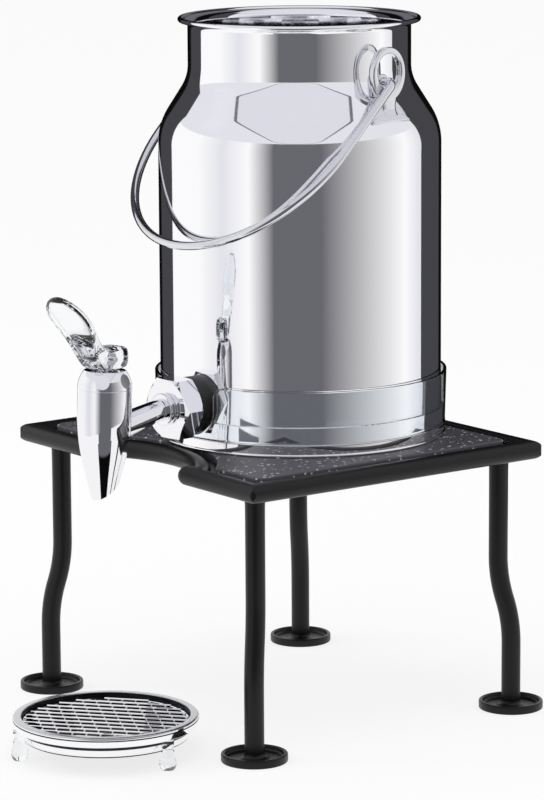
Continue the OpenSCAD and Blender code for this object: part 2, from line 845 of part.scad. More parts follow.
module drip_bowl() {
    color(steel) at_tray() difference() {
        bowl_outer(0);
        rotate_extrude() polygon([
            [0, bowl_up + tray_t], [bowl_r - tray_t, bowl_up + tray_t],
            [rim_in - shelf_w, rim_z - 0.5], [rim_in - shelf_w, rim_z + 0.5],
            [rim_in, rim_z + 0.5], [rim_in, tray_h], [0, tray_h]
        ]);
    }
}

module drip_rim() {
    color(steel) at_tray() rotate_extrude() {
        translate([rim_in, tray_h - tray_t]) square([rim_w - rim_round, tray_t]);
        translate([tray_r - tray_t, rim_z]) square([tray_t, rim_band - rim_round]);
        translate([tray_r - rim_round, tray_h - rim_round]) intersection() {
            difference() {
                circle(rim_round);
                circle(rim_round - tray_t);
            }
            square(rim_round);
        }
    }
}

module grid_outline() {
    n = floor(grid_r / grid_pitch);
    difference() {
        circle(grid_r);
        circle(grid_r - grid_wire);
    }
    intersection() {
        circle(grid_r - grid_wire / 2);
        for (i = [-n:n]) {
            translate([0, i * grid_pitch]) square([2 * grid_r, grid_wire], center = true);
            rotate(-grid_skew) translate([0, i * grid_pitch]) square([2 * grid_r, grid_wire], center = true);
        }
    }
}

module drip_grid() {
    color(steel) at_tray() translate([0, 0, rim_z + 0.5]) rotate([0, 0, grid_turn])
        linear_extrude(2 * grid_wire) grid_outline();
}

module drip_foot(a) {
    color(clear) at_tray() difference() {
        rotate([0, 0, a]) translate([tray_r - pad_r + pad_out, 0, 0]) rotate_extrude() {
            square([pad_r - 1.5, rim_z]);
            translate([0, 1.5]) square([pad_r, rim_z - 1.5]);
            translate([pad_r - 1.5, 1.5]) circle(1.5);
        }
        bowl_outer(weld);
    }
}

module drip_foot_front() { drip_foot(-111); }
module drip_foot_right() { drip_foot(9); }
module drip_foot_rear() { drip_foot(129); }

rim_rail();
recess_rail();
deck_plate();
deck_mat();
leg_front_left();
leg_front_right();
leg_rear_left();
leg_rear_right();
cup_front_left();
cup_front_right();
cup_rear_left();
cup_rear_right();
base_shell();
cooling_pack();
clear_collar();
can_shell();
can_bottom();
ear_plate_left();
ear_plate_right();
ear_eye_left();
ear_eye_right();
bail();
tap_gasket();
hex_nut();
shank_ring();
tap_shank();
inner_washer();
lock_nut();
tap_body();
bonnet();
valve_stem();
seat_cup();
lever_pin();
tap_lever();
drip_bowl();
drip_rim();
drip_grid();
drip_foot_front();
drip_foot_right();
drip_foot_rear();
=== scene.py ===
"""Looks of a table-top milk dispenser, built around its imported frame. Lengths in the shape code are millimetres."""
import math

import bmesh
import bpy
from bpy.props import FloatProperty, FloatVectorProperty, PointerProperty
from mathutils import Matrix, Vector


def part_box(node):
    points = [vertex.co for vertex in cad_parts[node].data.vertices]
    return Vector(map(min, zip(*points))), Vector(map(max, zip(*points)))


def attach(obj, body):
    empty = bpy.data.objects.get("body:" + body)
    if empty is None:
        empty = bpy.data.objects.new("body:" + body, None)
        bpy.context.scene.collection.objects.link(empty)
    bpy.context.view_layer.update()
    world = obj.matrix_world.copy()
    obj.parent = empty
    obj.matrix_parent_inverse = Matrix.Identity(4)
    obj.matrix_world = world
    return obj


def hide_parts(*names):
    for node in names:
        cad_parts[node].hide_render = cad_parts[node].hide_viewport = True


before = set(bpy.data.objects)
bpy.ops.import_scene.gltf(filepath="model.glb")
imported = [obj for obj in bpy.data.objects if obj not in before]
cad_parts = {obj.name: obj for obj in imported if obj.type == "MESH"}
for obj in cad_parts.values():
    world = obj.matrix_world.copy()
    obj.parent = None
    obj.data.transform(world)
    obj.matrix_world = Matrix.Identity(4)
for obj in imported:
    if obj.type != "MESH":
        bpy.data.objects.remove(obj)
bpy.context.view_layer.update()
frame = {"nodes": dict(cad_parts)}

bl_info = {
    "name": "Milk dispenser looks",
    "version": (1, 0, 0),
    "blender": (4, 5, 0),
    "location": "3D View > Sidebar > Milk dispenser",
    "description": "Builds the visible pieces, finishes and studio of a milk dispenser around its CAD frame",
    "category": "Object",
}

MM = 0.001


def middle(node):
    """Middle of a CAD node's box, in millimetres."""
    low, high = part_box(node)
    return (low + high) / (2 * MM)


def top(node):
    """Highest point of a CAD node, in millimetres."""
    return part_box(node)[1].z / MM


# Sizes that several pieces share, in millimetres; heights on the can count from the mat.
CAN_R, NECK_R, SHOULDER_Z, SHOULDER_RISE = 88, 69.2, 194.2, 29.8
TAP_AXIS_Z, TAP_REACH, TAP_JOINT_Z = 28.0, 159, 47.1

# Turn of the can on its stand and lean of the tap on the can, in degrees.
CAN_TURN, TAP_LEAN = 5, -2

# Places of the groups, read from the frame: stand, can (tap towards -Y), tap (joint of body and bonnet), tray.
STAND = Matrix.Translation((middle("rim_rail").x, middle("rim_rail").y, 0))
CAN = (Matrix.Translation((middle("can_bottom").x, middle("can_bottom").y, top("deck_mat")))
       @ Matrix.Rotation(math.radians(CAN_TURN), 4, "Z"))
TAP = (CAN @ Matrix.Translation((0, -TAP_REACH, TAP_JOINT_Z))
       @ Matrix.Rotation(math.radians(TAP_LEAN), 4, "X"))
TRAY = Matrix.Translation((middle("drip_rim").x, middle("drip_rim").y, 0))


def linear(text):
    """Turns an sRGB hex colour into linear values."""
    parts = [int(text[i:i + 2], 16) / 255 for i in (1, 3, 5)]
    return tuple(p / 12.92 if p <= 0.04045 else ((p + 0.055) / 1.055) ** 2.4 for p in parts)


def rgba(colour):
    return (*colour, 1.0)


def size(label, text, default):
    """A length that a user may change, in metres, from a default in millimetres."""
    return FloatProperty(name=label, description=text, default=default * MM, min=0.0001, max=1.0,
                         subtype="DISTANCE", unit="LENGTH", precision=4)


def colour(label, text, default):
    """A colour that a user may change, from an sRGB hex default."""
    return FloatVectorProperty(name=label, description=text, default=linear(default), min=0, max=1,
                               size=3, subtype="COLOR")


class StandLooks(bpy.types.PropertyGroup):
    """Sizes and colours of the bar stand."""
    bar: size("Bar", "Diameter of the stand's bar", 12)
    flare: size("Weld flare", "How far a weld swells at the top of a leg", 2.6)
    mat_edge: size("Mat edge", "Rounding of the mat's upper edge", 1.2)
    coat: colour("Coat", "Powder coat of the stand", "#0f0f10")
    mat: colour("Mat", "Ground colour of the mat", "#48484e")
    speckle: colour("Speckle", "Colour of the mat's speckles", "#b4b4b8")


class CanLooks(bpy.types.PropertyGroup):
    """Sizes and colours of the can, its bail and its base."""
    radius: size("Body radius", "Radius of the can's body", CAN_R)
    wire: size("Bail wire", "Wire diameter of the bail", 5.4)
    collar_edge: size("Collar edge", "Rounding of the clear collar's edges", 0.5)
    steel: colour("Steel", "Polished sheet", "#fafafc")
    drawn: colour("Wire steel", "Drawn wire of the bail and stamped ears", "#e2e3e6")
    clear: colour("Clear", "Clear acrylic", "#fafcfd")


class TapLooks(bpy.types.PropertyGroup):
    """Sizes and colours of the tap."""
    body: size("Body radius", "Radius of the tap's body", 16.5)
    paddle: size("Paddle", "Half the width of the lever's paddle", 15)
    dish: size("Dish", "Depth of the paddle's dish", 2)
    plate: colour("Plating", "Bright plating of the tap", "#f3f3f6")
    rubber: colour("Rubber", "Gasket rubber", "#131315")


class TrayLooks(bpy.types.PropertyGroup):
    """Sizes and colours of the drip tray."""
    radius: size("Radius", "Radius of the tray's rim", 56.2)
    wire: size("Wire", "Width of the grid's wires", 1.5)
    pitch: size("Pitch", "Spacing of the grid's wires", 8)
    satin: colour("Satin", "Satin rim of the tray", "#cacbcf")
    # Dark sheet of the bowl's inside, also used as painted shade under the rim, in the rim's groove and along the
    # bowl's lower edge.
    inside: colour("Inside", "Dull inside of the bowl", "#2c2d30")


class StageLooks(bpy.types.PropertyGroup):
    """Studio round the dispenser: its floor and the tones of its paper cards."""
    floor: colour("Floor", "Floor and background", "#ffffff")
    white: colour("White card", "White side cards", "#ffffff")
    pale: colour("Pale card", "Shaded stretches of the side cards", "#e6e6ec")
    grey: colour("Grey card", "Grey gap between the side cards, and the runner on the floor", "#69696f")
    dark: colour("Dark flag", "Sides of the flag behind the can", "#444448")
    black: colour("Black flag", "Middle of the flag behind the can", "#0b0b0d")
    panel: colour("Panel", "Overhead soft panel as polished metal mirrors it", "#dfdfe7")
    frame: colour("Panel frame", "Frame of the overhead panel", "#75757c")


def looks(name):
    return getattr(bpy.context.scene, "milk_" + name)


# Materials

def add(tree, kind, settings=(), links=()):
    """Adds a node; capitalised settings are inputs, the others are fields; links maps inputs to outputs."""
    made = tree.nodes.new(kind)
    for key, value in dict(settings).items():
        if isinstance(key, int) or key[0].isupper():
            made.inputs[key].default_value = value
        else:
            setattr(made, key, value)
    for key, source in dict(links).items():
        tree.links.new(source, made.inputs[key])
    return made


def material(name, build):
    """Finds a material or builds its node tree; build returns the tree's last shader."""
    made = bpy.data.materials.get(name)
    if made is None:
        made = bpy.data.materials.new(name)
        made.use_nodes = True
        made.node_tree.nodes.clear()
        shader = build(made.node_tree)
        add(made.node_tree, "ShaderNodeOutputMaterial", links={"Surface": shader.outputs[0]})
    return made


def grain(tree, millimetres, detail=2.0, stretch=(1, 1, 1)):
    """Noise whose spots are about this many millimetres wide."""
    place = add(tree, "ShaderNodeTexCoord")
    laid = add(tree, "ShaderNodeMapping", {"Scale": stretch}, {"Vector": place.outputs["Object"]})
    return add(tree, "ShaderNodeTexNoise", {"Scale": 1 / (millimetres * MM), "Detail": detail},
               {"Vector": laid.outputs[0]}).outputs[0]


def between(tree, value, low, high):
    """Maps a noise value to a range."""
    return add(tree, "ShaderNodeMapRange", {"From Min": 0.3, "From Max": 0.7, "To Min": low, "To Max": high},
               {"Value": value}).outputs[0]


def background_ray(tree):
    """One where a ray comes straight from the camera, metal or glass, and else nought."""
    path = add(tree, "ShaderNodeLightPath")
    seen = path.outputs["Is Camera Ray"]
    for other in ("Is Glossy Ray", "Is Transmission Ray"):
        seen = add(tree, "ShaderNodeMath", {"operation": "MAXIMUM"}, {0: seen, 1: path.outputs[other]}).outputs[0]
    return seen


def polished_sheet(tree):
    # Deep-drawn stainless sheet, mirror polished on the wheel: near-white mirror with a faint haze.
    haze = grain(tree, 1.5, 3.0, (1, 1, 0.15))
    return add(tree, "ShaderNodeBsdfPrincipled", {"Base Color": rgba(looks("can").steel), "Metallic": 1.0},
               {"Roughness": between(tree, haze, 0.025, 0.055)})


def drawn_wire(tree):
    # Drawn and stamped stainless, tumbled bright: a mirror with a little more haze and grey than the sheet.
    haze = grain(tree, 1.0, 3.0)
    return add(tree, "ShaderNodeBsdfPrincipled", {"Base Color": rgba(looks("can").drawn), "Metallic": 1.0},
               {"Roughness": between(tree, haze, 0.06, 0.12)})


def bright_plate(tree):
    # Brass with polished chrome plate: a harder, slightly cooler mirror than the sheet.
    haze = grain(tree, 1.0, 2.0)
    return add(tree, "ShaderNodeBsdfPrincipled", {"Base Color": rgba(looks("tap").plate), "Metallic": 1.0},
               {"Roughness": between(tree, haze, 0.015, 0.035)})


def satin_sheet(tree):
    # Stainless sheet, satin brushed round the rim: soft grey mirror.
    lines = grain(tree, 0.8, 2.0, (1, 1, 3))
    return add(tree, "ShaderNodeBsdfPrincipled", {"Base Color": rgba(looks("tray").satin), "Metallic": 1.0},
               {"Roughness": between(tree, lines, 0.2, 0.3)})


def powder_coat(tree):
    # Satin black powder coat on bar: baked grains, here 0.6 mm wide so that they show, break up the highlights.
    peel = grain(tree, 0.6, 2.0)
    bump = add(tree, "ShaderNodeBump", {"Strength": 0.35, "Distance": 0.05 * MM}, {"Height": peel})
    return add(tree, "ShaderNodeBsdfPrincipled",
               {"Base Color": rgba(looks("stand").coat), "Specular IOR Level": 0.28},
               {"Roughness": between(tree, peel, 0.3, 0.42), "Normal": bump.outputs[0]})


def speckled_mat(tree):
    # Dark moulded sheet with pale chips and a fine matt texture; the chips, 1 to 2.4 mm wide and about 4 mm apart,
    # are drawn coarser than they are, so that they show.
    place = add(tree, "ShaderNodeTexCoord")
    cells = add(tree, "ShaderNodeTexVoronoi", {"Scale": 1 / (4 * MM)}, {"Vector": place.outputs["Object"]})
    pick = add(tree, "ShaderNodeSeparateColor", links={"Color": cells.outputs["Color"]})
    reach = add(tree, "ShaderNodeMapRange", {"To Min": 0.12, "To Max": 0.3}, {"Value": pick.outputs[0]})
    chip = add(tree, "ShaderNodeMath", {"operation": "LESS_THAN"},
               {0: cells.outputs["Distance"], 1: reach.outputs[0]})
    paint = add(tree, "ShaderNodeMix", {"data_type": "RGBA", 6: rgba(looks("stand").mat),
                                       7: rgba(looks("stand").speckle)}, {0: chip.outputs[0]})
    peel = grain(tree, 0.5, 3.0)
    bump = add(tree, "ShaderNodeBump", {"Strength": 0.3, "Distance": 0.05 * MM}, {"Height": peel})
    return add(tree, "ShaderNodeBsdfPrincipled", links={
        "Base Color": paint.outputs[2], "Roughness": between(tree, peel, 0.42, 0.56), "Normal": bump.outputs[0]})


def clear_acrylic(tree):
    # Cast acrylic, flame polished: clear as glass with a faint skin haze.
    skin = grain(tree, 2.0, 2.0)
    return add(tree, "ShaderNodeBsdfPrincipled",
               {"Base Color": rgba(looks("can").clear), "IOR": 1.49, "Transmission Weight": 1.0},
               {"Roughness": between(tree, skin, 0.0, 0.02)})


def gasket_rubber(tree):
    # Moulded black rubber with a dull skin.
    skin = grain(tree, 0.7, 3.0)
    bump = add(tree, "ShaderNodeBump", {"Strength": 0.2, "Distance": 0.04 * MM}, {"Height": skin})
    return add(tree, "ShaderNodeBsdfPrincipled", {"Base Color": rgba(looks("tap").rubber)},
               {"Roughness": between(tree, skin, 0.45, 0.6), "Normal": bump.outputs[0]})


def pale_silicone(tree):
    # Moulded silicone seat: pale, slightly waxy.
    skin = grain(tree, 0.8, 2.0)
    return add(tree, "ShaderNodeBsdfPrincipled", {"Base Color": rgba(linear("#dfe0db")), "IOR": 1.41},
               {"Roughness": between(tree, skin, 0.4, 0.5)})


def pack_plastic(tree):
    # Blow-moulded polyethylene shell of the cooling pack: pale, soft gloss.
    skin = grain(tree, 3.0, 2.0)
    return add(tree, "ShaderNodeBsdfPrincipled", {"Base Color": rgba(linear("#c9d2da"))},
               {"Roughness": between(tree, skin, 0.35, 0.5)})


def dark_sheet_and_painted_shade(tree):
    # Deep-drawn stainless sheet, dark and a soft mirror inside the bowl; the same dark sheet is painted shade under
    # the rim, in the rim's groove and along the bowl's lower edge.
    lines = grain(tree, 1.2, 3.0)
    return add(tree, "ShaderNodeBsdfPrincipled", {"Base Color": rgba(looks("tray").inside), "Metallic": 1.0},
               {"Roughness": between(tree, lines, 0.28, 0.42)})


FINISHES = {
    "steel": ("stainless_sheet_mirror_polished", polished_sheet, "polished_steel"),
    "wire": ("stainless_wire_drawn_tumbled", drawn_wire, "polished_steel"),
    "plate": ("brass_bright_chrome_plated", bright_plate, "chrome"),
    "satin": ("stainless_sheet_satin_brushed", satin_sheet, "chrome"),
    "dark_and_painted_shade": ("stainless_sheet_dark_and_painted_shade", dark_sheet_and_painted_shade, "chrome"),
    "coat": ("steel_bar_black_powder_coated", powder_coat, "black_powder_coat"),
    "mat": ("rubber_sheet_speckled_moulded", speckled_mat, "speckled_mat"),
    "clear": ("acrylic_clear_polished", clear_acrylic, "clear_acrylic"),
    "rubber": ("rubber_black_moulded", gasket_rubber, "black_rubber"),
    "silicone": ("silicone_pale_moulded", pale_silicone, "silicone"),
    "pack": ("polyethylene_pale_blow_moulded", pack_plastic, "pack_shell"),
}


# Shapes: each gives (points, faces)

def rounded(points, radius, steps=6, closed=False):
    """A line whose corners are arcs; radius is one value, or one for each point."""
    line = [Vector(p) for p in points]
    radii = radius if isinstance(radius, (list, tuple)) else [radius] * len(line)
    done = []
    for i, p in enumerate(line):
        if radii[i] <= 0 or (not closed and i in (0, len(line) - 1)):
            done.append(p)
            continue
        a = (line[i - 1] - p).normalized()
        b = (line[(i + 1) % len(line)] - p).normalized()
        half = a.angle(b) / 2
        middle_point = p + (a + b).normalized() * (radii[i] / math.sin(half))
        start = p + a * (radii[i] / math.tan(half)) - middle_point
        end = p + b * (radii[i] / math.tan(half)) - middle_point
        turn = start.angle(end)
        for k in range(steps + 1):
            t = k / steps
            swept = (start * math.sin((1 - t) * turn) + end * math.sin(t * turn)) / math.sin(turn)
            done.append(middle_point + swept)
    return done


def arc(x, z, r, a0, a1, steps):
    """Points of an arc, angles in degrees."""
    turns = [math.radians(a0 + (a1 - a0) * i / steps) for i in range(steps + 1)]
    return [(x + r * math.cos(t), z + r * math.sin(t)) for t in turns]


def turns(count):
    """Equal steps of one full turn, in radians."""
    return [2 * math.pi * k / count for k in range(count)]


def loft(rings, closed=False):
    """Skin over rings of equal count, capped at its ends unless it closes on itself."""
    n, count = len(rings[0]), len(rings)
    points = [tuple(p) for ring in rings for p in ring]
    faces = []
    for i in range(count if closed else count - 1):
        j = (i + 1) % count
        faces += [(i * n + k, i * n + (k + 1) % n, j * n + (k + 1) % n, j * n + k) for k in range(n)]
    if not closed:
        faces += [tuple(reversed(range(n))), tuple((count - 1) * n + k for k in range(n))]
    return points, faces


def lathe(profile, around=192):
    """Turns a closed (radius, height) outline round Z."""
    rings = [[(p[0] * math.cos(a), p[0] * math.sin(a), p[1]) for p in profile] for a in turns(around)]
    return loft(rings, closed=True)


def tube(path, radius, around=24, closed=False):
    """Round bar along a path; radius is one value, or one for each point."""
    line = [Vector(p) for p in path]
    radii = radius if isinstance(radius, (list, tuple)) else [radius] * len(line)
    side, rings = None, []
    for i, p in enumerate(line):
        ahead = line[(i + 1) % len(line)] if closed or i + 1 < len(line) else p
        behind = line[i - 1] if closed or i else p
        along = (ahead - behind).normalized()
        if side is None:
            side = along.cross(Vector((0.3, 0.2, 1))).normalized()
        side = (side - along * side.dot(along)).normalized()
        up = along.cross(side)
        rings.append([p + (side * math.cos(a) + up * math.sin(a)) * radii[i] for a in turns(around)])
    return loft(rings, closed)


def joined(*shapes):
    """Several shapes as one."""
    points, faces = [], []
    for more_points, more_faces in shapes:
        faces += [tuple(i + len(points) for i in face) for face in more_faces]
        points += more_points
    return points, faces


def moved(shape, place):
    """A shape at another place."""
    return [tuple(place @ Vector(p)) for p in shape[0]], shape[1]


def mesh_of(name, shape, place):
    """A clean mesh in metres from a shape in millimetres."""
    mesh = bpy.data.meshes.new(name)
    mesh.from_pydata([(place @ Vector(p)) * MM for p in shape[0]], [], shape[1])
    work = bmesh.new()
    work.from_mesh(mesh)
    bmesh.ops.remove_doubles(work, verts=work.verts, dist=1e-7)
    bmesh.ops.dissolve_degenerate(work, edges=work.edges, dist=1e-8)
    bmesh.ops.recalc_face_normals(work, faces=work.faces)
    work.to_mesh(mesh)
    work.free()
    return mesh


def show(name, mesh, body, finish, nodes=(), sharp=32):
    """Puts a mesh into the scene on a body, with a finish, in place of CAD nodes."""
    label, build, slot = FINISHES[finish]
    mesh.shade_smooth()
    mesh.set_sharp_from_angle(angle=math.radians(sharp))
    mesh.materials.clear()
    mesh.materials.append(material(label, build))
    piece = bpy.data.objects.new(name, mesh)
    bpy.context.scene.collection.objects.link(piece)
    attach(piece, body)
    if nodes:
        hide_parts(*nodes)
    return piece


def build(name, shape, place, body, finish, nodes=(), sharp=32):
    """A piece straight from a shape."""
    return show(name, mesh_of(name, shape, place), body, finish, nodes, sharp)


def dress(finish, *nodes):
    """Gives CAD nodes a finish."""
    label, builder, _ = FINISHES[finish]
    for node in nodes:
        mesh = frame["nodes"][node].data
        mesh.materials.clear()
        mesh.materials.append(material(label, builder))


def cut_away(mesh, cutter):
    """A mesh less a cutter mesh; both are thrown away."""
    whole, tool = bpy.data.objects.new("whole", mesh), bpy.data.objects.new("tool", cutter)
    for each in (whole, tool):
        bpy.context.scene.collection.objects.link(each)
    change = whole.modifiers.new("cut", "BOOLEAN")
    change.operation, change.solver, change.object = "DIFFERENCE", "EXACT", tool
    bpy.context.view_layer.update()
    result = bpy.data.meshes.new_from_object(whole.evaluated_get(bpy.context.evaluated_depsgraph_get()))
    for each in (whole, tool):
        bpy.data.objects.remove(each)
    return result


def smooth_step(t):
    """Eases from nought to one as t does."""
    t = min(max(t, 0.0), 1.0)
    return t * t * (3 - 2 * t)


def table(t, rows):
    """Values at t, straight between rows of (t, value, ...)."""
    if t <= rows[0][0]:
        return rows[0][1:]
    for a, b in zip(rows, rows[1:]):
        if t <= b[0]:
            w = (t - a[0]) / (b[0] - a[0])
            return tuple(x + (y - x) * w for x, y in zip(a[1:], b[1:]))
    return rows[-1][1:]


# Stand

class MILK_OT_bars(bpy.types.Operator):
    """Coats the stand's bars and deck sheet"""
    bl_idname = "milk.bars"
    bl_label = "Bars and deck sheet"

    def execute(self, context):
        dress("coat", "rim_rail", "recess_rail", "deck_plate")
        return {"FINISHED"}


class MILK_OT_mat(bpy.types.Operator):
    """Lays the speckled mat with a rounded upper edge"""
    bl_idname = "milk.mat"
    bl_label = "Deck mat"

    def execute(self, context):
        edge = looks("stand").mat_edge / MM
        low, high = (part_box("deck_mat")[i] / MM for i in (0, 1))
        hx, hy = (high.x - low.x) / 2, (high.y - low.y) / 2
        z0, z1 = low.z, high.z
        corner, recess, centre, swing, blunt = 7, 92.64, 161.14, 44.22, 1.5
        cx = math.sqrt(recess ** 2 - (centre - hy) ** 2) + blunt
        outline = rounded([(hx, -hy), (hx, hy), (-hx, hy), (-hx, -hy)], corner, 8, True)
        gap = [Vector(p) for p in arc(0, -centre, recess, 180 - swing, swing, 60)]
        # The gap's two corners are a little blunt.
        gap[0], gap[-1] = Vector((-cx, -hy)), Vector((cx, -hy))
        outline += gap
        normals = []
        for i, p in enumerate(outline):
            along = outline[(i + 1) % len(outline)] - outline[i - 1]
            normals.append(Vector((-along.y, along.x)).normalized())
        steps = [(0, z0), (0, z1 - edge)] + [(edge * (1 - math.cos(a)), z1 - edge + edge * math.sin(a))
                                             for a in (math.pi / 8 * k for k in range(1, 5))]
        rings = [[(p.x + n.x * inset, p.y + n.y * inset, z) for p, n in zip(outline, normals)] for inset, z in steps]
        build("deck_mat_sheet", loft(rings), STAND, "stand", "mat", ["deck_mat"])
        return {"FINISHED"}


def corner_signs():
    """The stand's corners by name, with the signs of their x and y."""
    return [(a, b, sx, sy) for a, sy in (("front", -1), ("rear", 1)) for b, sx in (("left", -1), ("right", 1))]


class MILK_OT_legs(bpy.types.Operator):
    """Bends the four legs and swells their welds under the deck"""
    bl_idname = "milk.legs"
    bl_label = "Legs"

    def execute(self, context):
        r, flare = looks("stand").bar / (2 * MM), looks("stand").flare / MM
        kick, low, high, tip, fade = 8.4, 42.0, 98.0, 165.9, 3.2
        spot_x, spot_y = 103.6, 94.45
        bend = ((high - low) ** 2 + kick ** 2) / (4 * kick)
        angle = math.degrees(2 * math.atan(kick / (high - low)))
        line = [(kick, z) for z in (2.0, 4.0, 15.0, 28.0)]
        line += arc(kick - bend, low, bend, 0, angle, 14)
        line += arc(bend, high, bend, 180 + angle, 180, 14)[1:]
        line += [(0, z) for z in (112, 135, 146, 150, 153, 155, 157, 158.5, 160, 161.5, 163, 164.5, tip)]
        radii = [r + flare * math.exp((z - tip) / fade) for _, z in line]
        shape = tube([(x, 0, z) for x, z in line], radii, 32)
        for a, b, sx, sy in corner_signs():
            turn = Matrix.Rotation(math.atan2(sy, sx), 4, "Z")
            place = STAND @ Matrix.Translation((sx * spot_x, sy * spot_y, 0)) @ turn
            build(f"leg_{a}_{b}_bar", shape, place, "stand", "coat", [f"leg_{a}_{b}"])
        return {"FINISHED"}


class MILK_OT_cups(bpy.types.Operator):
    """Turns the four cup feet with their weld rings"""
    bl_idname = "milk.cups"
    bl_label = "Cup feet"

    def execute(self, context):
        outline = rounded([(0, 0), (20.2, 0), (20.2, 5.2), (18.0, 5.2), (17.4, 2.0), (9.4, 2.0), (6.4, 3.2),
                           (5.7, 6.0), (0, 6.0)], [0, 0.9, 1.0, 0.9, 1.6, 2.0, 2.0, 0, 0], 5, True)
        shape = lathe(outline, 96)
        for a, b, _, _ in corner_signs():
            node = f"cup_{a}_{b}"
            spot = middle(node)
            build(f"{node}_dish", shape, Matrix.Translation((spot.x, spot.y, 0)), "stand", "coat", [node])
        return {"FINISHED"}


# Can and base

class MILK_OT_base(bpy.types.Operator):
    """Polishes the cooling base and paints its pack"""
    bl_idname = "milk.base"
    bl_label = "Cooling base"

    def execute(self, context):
        dress("steel", "base_shell")
        dress("pack", "cooling_pack")
        return {"FINISHED"}


class MILK_OT_collar(bpy.types.Operator):
    """Forms the clear collar with its U notch and polished edges"""
    bl_idname = "milk.collar"
    bl_label = "Clear collar"

    def execute(self, context):
        e = looks("can").collar_edge / MM
        inside, foot, flare, z0, z1 = 89.5, 1.1, 0.9, 8.0, 40.6
        wall, reach, blend = 90.5, 18.5, 6.0
        # Stations round the band, closer together where the notch curves.
        notch = [math.asin(x / wall) for x in
                 [0.5 * k for k in range(0, 34)] + [17.2, 17.6, 17.9, 18.15, 18.3, 18.4, 18.47, 18.499, 18.501]
                 + [18.55, 18.7, 19.0, 19.4, 20, 20.7, 21.5, 22.4, 23.4, 24.5]]
        stations = [a for a in turns(240) if min(a, 2 * math.pi - a) > max(notch) + 0.01]
        stations = sorted(stations + notch + [2 * math.pi - a for a in notch if a > 0])
        rings = []
        for a in stations:
            x = abs(wall * math.sin(a)) if math.cos(a) > 0 else wall
            z = z1
            if x < reach:
                z = TAP_AXIS_Z - math.sqrt(reach ** 2 - x ** 2)
            elif x < reach + blend:
                z = z1 - blend + math.sqrt(max(blend ** 2 - (reach + blend - x) ** 2, 0))
            wide = foot + flare * (z - z0) / (z1 - z0)
            k, step = min(e, (z - z0) / 4, foot / 2.2), min(1.2, (z - z0) / 3)
            lean = step * flare / (z1 - z0)
            section = rounded([(inside, z0), (inside + foot, z0), (inside + foot + lean, z0 + step),
                               (inside + wide - lean, z - step), (inside + wide, z), (inside, z), (inside, z - step),
                               (inside, z0 + step)], [k, k, 0, 0, k, k, 0, 0], 4, True)
            rings.append([(p.x * math.sin(a), -p.x * math.cos(a), p.y) for p in section])
        build("clear_collar_band", loft(rings, closed=True), CAN, "cooling_base", "clear", ["clear_collar"])
        return {"FINISHED"}


def can_face(e):
    """The can's face, e inside the outer one: foot, body, shoulder, neck, flare."""
    r = looks("can").radius / MM
    slope = math.degrees(math.atan((r - NECK_R) / SHOULDER_RISE))
    k = math.tan(math.radians(slope / 2))
    foot, foot_z, flare, flare_z = 3 - e, 15, 4, 254.8
    lower, upper = 40 - e, 26 + e
    return (arc(r - e - foot, foot_z, foot, -90, 0, 8)
            + [(r - e, z) for z in (30, 60, 100, 140, 170)]
            + arc(r - e - lower, SHOULDER_Z - (e + lower) * k, lower, 0, slope, 16)
            + arc(NECK_R - e + upper, SHOULDER_Z + SHOULDER_RISE - e * k + upper * k, upper, 180 + slope, 180, 16)
            + arc(NECK_R + flare, flare_z, flare + e, 180, 90, 12))


class MILK_OT_can(bpy.types.Operator):
    """Spins the polished can with its rolled rim"""
    bl_idname = "milk.can"
    bl_label = "Can"

    def execute(self, context):
        sheet, bead_x, bead_z, bead_r = 1.0, 73.7, 259.3, 1.6
        bead = arc(bead_x, bead_z, bead_r, 262, -82, 28)
        outline = can_face(0)[:-1] + list(reversed(bead)) + list(reversed(can_face(sheet)[:-1]))
        build("can_sheet", lathe(outline, 288), CAN, "can", "steel", ["can_shell"], sharp=40)
        dress("steel", "can_bottom")
        return {"FINISHED"}


def on_cone(y, z, off):
    """A point of the shoulder's cone at a side offset y and height z, off its face."""
    run, rise = CAN_R - NECK_R, SHOULDER_RISE
    length = math.hypot(run, rise)
    r = CAN_R - (z - SHOULDER_Z) * run / rise + off * rise / length
    return math.sqrt(max(r * r - y * y, 0)), y, z + off * run / length


